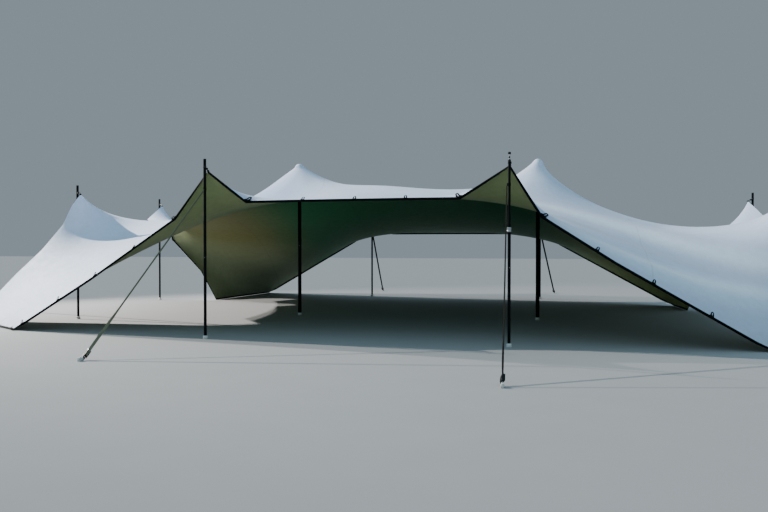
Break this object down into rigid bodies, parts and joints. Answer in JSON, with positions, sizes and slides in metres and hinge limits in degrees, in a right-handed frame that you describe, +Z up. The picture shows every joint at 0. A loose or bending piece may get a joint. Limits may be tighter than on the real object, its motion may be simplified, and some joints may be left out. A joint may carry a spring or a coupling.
{
  "type": "stretch tent",
  "caption": "Free-form tent of stretched cloth lifted by inner and edge poles, its edge partly pegged down, with taut guy straps, ratchets and stakes",
  "frame": {"origin": "Centre of the bounding box in plan, at ground level", "axes": "+X runs along the front edge to the viewer's right, +Y runs from the front to the back, +Z is up"},
  "size_m": [20.2914, 17.3508, 3.265],
  "materials": {
    "cloth": "matt elastic coated cloth, pale outside and olive inside",
    "webbing": "black woven polyester webbing",
    "pole": "satin black coated aluminium tube",
    "collar": "bare cast clamp",
    "foot": "white moulded foot",
    "stake": "white safety cap on a steel stake",
    "peg": "dull galvanised steel"
  },
  "bodies": {
    "root": {"canopy_panel_1": "cloth", "canopy_panel_2": "cloth", "canopy_panel_3": "cloth", "canopy_panel_4": "cloth", "canopy_panel_5": "cloth", "front_edge_webbing": "webbing", "back_edge_webbing": "webbing", "left_edge_webbing": "webbing", "right_edge_webbing": "webbing", "front_left_guy_strap": "webbing", "front_right_guy_strap": "webbing", "side_left_front_guy_strap": "webbing", "side_left_back_guy_strap": "webbing", "side_right_front_guy_strap": "webbing", "side_right_back_guy_strap": "webbing", "back_left_guy_strap": "webbing", "back_right_guy_strap": "webbing", "inner_left_pole": "pole", "inner_right_pole": "pole", "front_right_pole_upper_tube": "pole", "front_right_pole_lower_tube": "pole", "front_left_pole": "pole", "side_left_front_pole": "pole", "side_left_back_pole": "pole", "side_right_front_pole": "pole", "side_right_back_pole": "pole", "back_left_pole": "pole", "back_right_pole": "pole", "front_right_pole_collar": "collar", "inner_left_pole_foot": "foot", "inner_right_pole_foot": "foot", "front_left_pole_foot": "foot", "front_right_pole_foot": "foot", "side_left_front_pole_foot": "foot", "side_left_back_pole_foot": "foot", "side_right_front_pole_foot": "foot", "side_right_back_pole_foot": "foot", "back_left_pole_foot": "foot", "back_right_pole_foot": "foot", "front_left_stake": "stake", "front_right_stake": "stake", "side_left_front_stake": "stake", "side_left_back_stake": "stake", "side_right_front_stake": "stake", "side_right_back_stake": "stake", "back_left_stake": "stake", "back_right_stake": "stake", "front_left_ground_peg": "peg", "front_right_ground_peg": "peg", "back_left_ground_peg": "peg", "back_right_ground_peg": "peg"}
  },
  "joints": []
}
